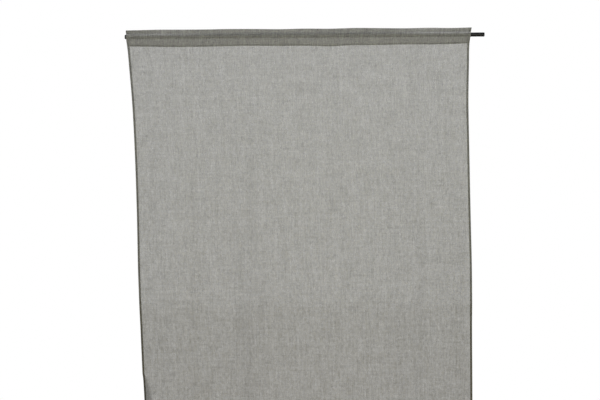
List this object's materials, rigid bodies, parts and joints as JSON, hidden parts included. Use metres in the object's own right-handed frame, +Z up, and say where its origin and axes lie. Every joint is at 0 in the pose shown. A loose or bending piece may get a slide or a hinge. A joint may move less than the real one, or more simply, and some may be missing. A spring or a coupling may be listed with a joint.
{
  "type": "rod pocket curtain on a rod",
  "caption": "Semi-sheer grey curtain panel with a rod pocket and header, hanging from a plain straight round rod.",
  "frame": {"origin": "on the rod's axis at the middle of the rod's length", "axes": "+X along the rod to the right as seen from the front, +Z up, the curtain's front faces -Y"},
  "size_m": [1.456, 0.0656, 2.4021],
  "materials": {
    "grey_sheer_cloth": "matt semi-sheer voile with uneven slub yarns",
    "satin_black_metal": "satin black paint"
  },
  "bodies": {
    "root": {"curtain_panel": "grey_sheer_cloth", "rod": "satin_black_metal"}
  },
  "joints": []
}
